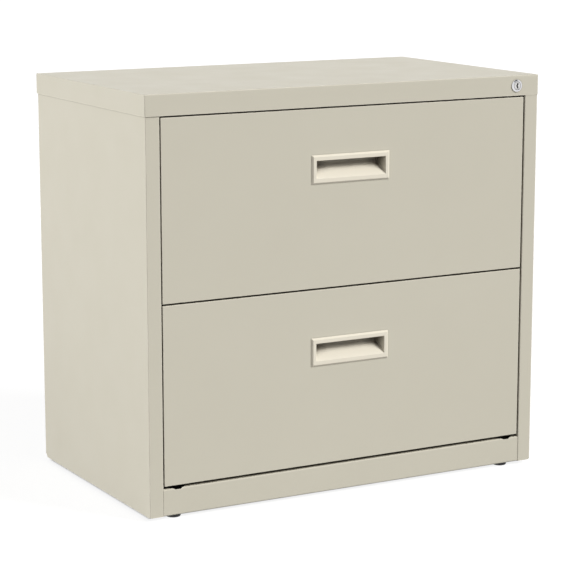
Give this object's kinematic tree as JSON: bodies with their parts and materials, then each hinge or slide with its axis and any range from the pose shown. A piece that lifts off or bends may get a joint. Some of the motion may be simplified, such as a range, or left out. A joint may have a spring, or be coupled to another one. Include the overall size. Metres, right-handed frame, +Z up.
{
  "type": "lateral filing cabinet",
  "caption": "Wide, shallow sheet-steel filing cabinet with full-extension drawers one above the other, recessed bezel pulls, a cam lock in the top rail and levelling glides.",
  "frame": {"origin": "on the floor under the middle of the case", "axes": "+X to the right of someone facing the drawers, +Y to the back, +Z up"},
  "size_m": [0.762, 0.4509, 0.7049],
  "materials": {
    "enamel": "satin putty enamel",
    "pull": "fine satin, moulded",
    "zinc": "bright zinc plate",
    "lock": "polished chrome plate",
    "counterweight": "as cast",
    "glide": "moulded nylon"
  },
  "bodies": {
    "cabinet": {"top_panel": "enamel", "left_side_panel": "enamel", "right_side_panel": "enamel", "back_panel": "enamel", "front_base_rail": "enamel", "rear_base_rail": "enamel", "counterweight": "counterweight", "left_front_upright": "zinc", "right_front_upright": "zinc", "left_rear_upright": "zinc", "right_rear_upright": "zinc", "lock_housing": "lock", "lock_nut": "zinc", "upper_lock_bar_guide": "zinc", "lower_lock_bar_guide": "zinc", "upper_left_slide_cabinet_member": "zinc", "upper_right_slide_cabinet_member": "zinc", "lower_left_slide_cabinet_member": "zinc", "lower_right_slide_cabinet_member": "zinc"},
    "upper_drawer": {"upper_drawer_front": "enamel", "upper_drawer_front_liner": "enamel", "upper_drawer_pull": "pull", "upper_drawer_left_side": "enamel", "upper_drawer_right_side": "enamel", "upper_drawer_tray": "enamel", "upper_drawer_front_hanging_rail": "zinc", "upper_drawer_rear_hanging_rail": "zinc", "upper_drawer_lock_catch": "zinc", "upper_left_slide_drawer_member": "zinc", "upper_right_slide_drawer_member": "zinc"},
    "upper_left_slide_middle_member": {"upper_left_slide_middle_member": "zinc"},
    "upper_left_slide_outer_ball_cage": {"upper_left_slide_outer_ball_cage": "zinc"},
    "upper_left_slide_inner_ball_cage": {"upper_left_slide_inner_ball_cage": "zinc"},
    "upper_right_slide_middle_member": {"upper_right_slide_middle_member": "zinc"},
    "upper_right_slide_outer_ball_cage": {"upper_right_slide_outer_ball_cage": "zinc"},
    "upper_right_slide_inner_ball_cage": {"upper_right_slide_inner_ball_cage": "zinc"},
    "lower_drawer": {"lower_drawer_front": "enamel", "lower_drawer_front_liner": "enamel", "lower_drawer_pull": "pull", "lower_drawer_left_side": "enamel", "lower_drawer_right_side": "enamel", "lower_drawer_tray": "enamel", "lower_drawer_front_hanging_rail": "zinc", "lower_drawer_rear_hanging_rail": "zinc", "lower_drawer_lock_catch": "zinc", "lower_left_slide_drawer_member": "zinc", "lower_right_slide_drawer_member": "zinc"},
    "lower_left_slide_middle_member": {"lower_left_slide_middle_member": "zinc"},
    "lower_left_slide_outer_ball_cage": {"lower_left_slide_outer_ball_cage": "zinc"},
    "lower_left_slide_inner_ball_cage": {"lower_left_slide_inner_ball_cage": "zinc"},
    "lower_right_slide_middle_member": {"lower_right_slide_middle_member": "zinc"},
    "lower_right_slide_outer_ball_cage": {"lower_right_slide_outer_ball_cage": "zinc"},
    "lower_right_slide_inner_ball_cage": {"lower_right_slide_inner_ball_cage": "zinc"},
    "lock": {"lock_plug": "lock", "lock_cam": "zinc"},
    "lock_bar": {"lock_bar": "zinc"},
    "left_front_glide": {"left_front_glide": "glide"},
    "right_front_glide": {"right_front_glide": "glide"},
    "left_rear_glide": {"left_rear_glide": "glide"},
    "right_rear_glide": {"right_rear_glide": "glide"}
  },
  "joints": [
    {"name": "upper_drawer_slide", "type": "slide", "parent": "cabinet", "child": "upper_drawer", "axis": [0, -1, 0], "range_m": [0, 0.38]},
    {"name": "upper_left_middle_slide", "type": "slide", "parent": "cabinet", "child": "upper_left_slide_middle_member", "axis": [0, -1, 0], "range_m": [0, 0.19]},
    {"name": "upper_left_outer_cage_roll", "type": "slide", "parent": "cabinet", "child": "upper_left_slide_outer_ball_cage", "axis": [0, -1, 0], "range_m": [0, 0.095]},
    {"name": "upper_left_inner_cage_roll", "type": "slide", "parent": "cabinet", "child": "upper_left_slide_inner_ball_cage", "axis": [0, -1, 0], "range_m": [0, 0.285]},
    {"name": "upper_right_middle_slide", "type": "slide", "parent": "cabinet", "child": "upper_right_slide_middle_member", "axis": [0, -1, 0], "range_m": [0, 0.19]},
    {"name": "upper_right_outer_cage_roll", "type": "slide", "parent": "cabinet", "child": "upper_right_slide_outer_ball_cage", "axis": [0, -1, 0], "range_m": [0, 0.095]},
    {"name": "upper_right_inner_cage_roll", "type": "slide", "parent": "cabinet", "child": "upper_right_slide_inner_ball_cage", "axis": [0, -1, 0], "range_m": [0, 0.285]},
    {"name": "lower_drawer_slide", "type": "slide", "parent": "cabinet", "child": "lower_drawer", "axis": [0, -1, 0], "range_m": [0, 0.38]},
    {"name": "lower_left_middle_slide", "type": "slide", "parent": "cabinet", "child": "lower_left_slide_middle_member", "axis": [0, -1, 0], "range_m": [0, 0.19]},
    {"name": "lower_left_outer_cage_roll", "type": "slide", "parent": "cabinet", "child": "lower_left_slide_outer_ball_cage", "axis": [0, -1, 0], "range_m": [0, 0.095]},
    {"name": "lower_left_inner_cage_roll", "type": "slide", "parent": "cabinet", "child": "lower_left_slide_inner_ball_cage", "axis": [0, -1, 0], "range_m": [0, 0.285]},
    {"name": "lower_right_middle_slide", "type": "slide", "parent": "cabinet", "child": "lower_right_slide_middle_member", "axis": [0, -1, 0], "range_m": [0, 0.19]},
    {"name": "lower_right_outer_cage_roll", "type": "slide", "parent": "cabinet", "child": "lower_right_slide_outer_ball_cage", "axis": [0, -1, 0], "range_m": [0, 0.095]},
    {"name": "lower_right_inner_cage_roll", "type": "slide", "parent": "cabinet", "child": "lower_right_slide_inner_ball_cage", "axis": [0, -1, 0], "range_m": [0, 0.285]},
    {"name": "lock_turn", "type": "hinge", "parent": "cabinet", "child": "lock", "pos_m": [0.3351, -0.22385, 0.68685], "axis": [0, -1, 0], "range_deg": [0, 90]},
    {"name": "lock_bar_lift", "type": "slide", "parent": "cabinet", "child": "lock_bar", "axis": [0, 0, 1], "range_m": [0, 0.0099]},
    {"name": "left_front_glide_screw", "type": "slide", "parent": "cabinet", "child": "left_front_glide", "axis": [0, 0, -1], "range_m": [0, 0.012]},
    {"name": "right_front_glide_screw", "type": "slide", "parent": "cabinet", "child": "right_front_glide", "axis": [0, 0, -1], "range_m": [0, 0.012]},
    {"name": "left_rear_glide_screw", "type": "slide", "parent": "cabinet", "child": "left_rear_glide", "axis": [0, 0, -1], "range_m": [0, 0.012]},
    {"name": "right_rear_glide_screw", "type": "slide", "parent": "cabinet", "child": "right_rear_glide", "axis": [0, 0, -1], "range_m": [0, 0.012]}
  ],
  "couplings": [
    {"joint": "upper_left_middle_slide", "follows": "upper_drawer_slide", "ratio": 0.5},
    {"joint": "upper_left_outer_cage_roll", "follows": "upper_drawer_slide", "ratio": 0.25},
    {"joint": "upper_left_inner_cage_roll", "follows": "upper_drawer_slide", "ratio": 0.75},
    {"joint": "upper_right_middle_slide", "follows": "upper_drawer_slide", "ratio": 0.5},
    {"joint": "upper_right_outer_cage_roll", "follows": "upper_drawer_slide", "ratio": 0.25},
    {"joint": "upper_right_inner_cage_roll", "follows": "upper_drawer_slide", "ratio": 0.75},
    {"joint": "lower_left_middle_slide", "follows": "lower_drawer_slide", "ratio": 0.5},
    {"joint": "lower_left_outer_cage_roll", "follows": "lower_drawer_slide", "ratio": 0.25},
    {"joint": "lower_left_inner_cage_roll", "follows": "lower_drawer_slide", "ratio": 0.75},
    {"joint": "lower_right_middle_slide", "follows": "lower_drawer_slide", "ratio": 0.5},
    {"joint": "lower_right_outer_cage_roll", "follows": "lower_drawer_slide", "ratio": 0.25},
    {"joint": "lower_right_inner_cage_roll", "follows": "lower_drawer_slide", "ratio": 0.75},
    {"joint": "lock_turn", "follows": "lock_bar_lift", "rad_per_m": 158.65}
  ]
}
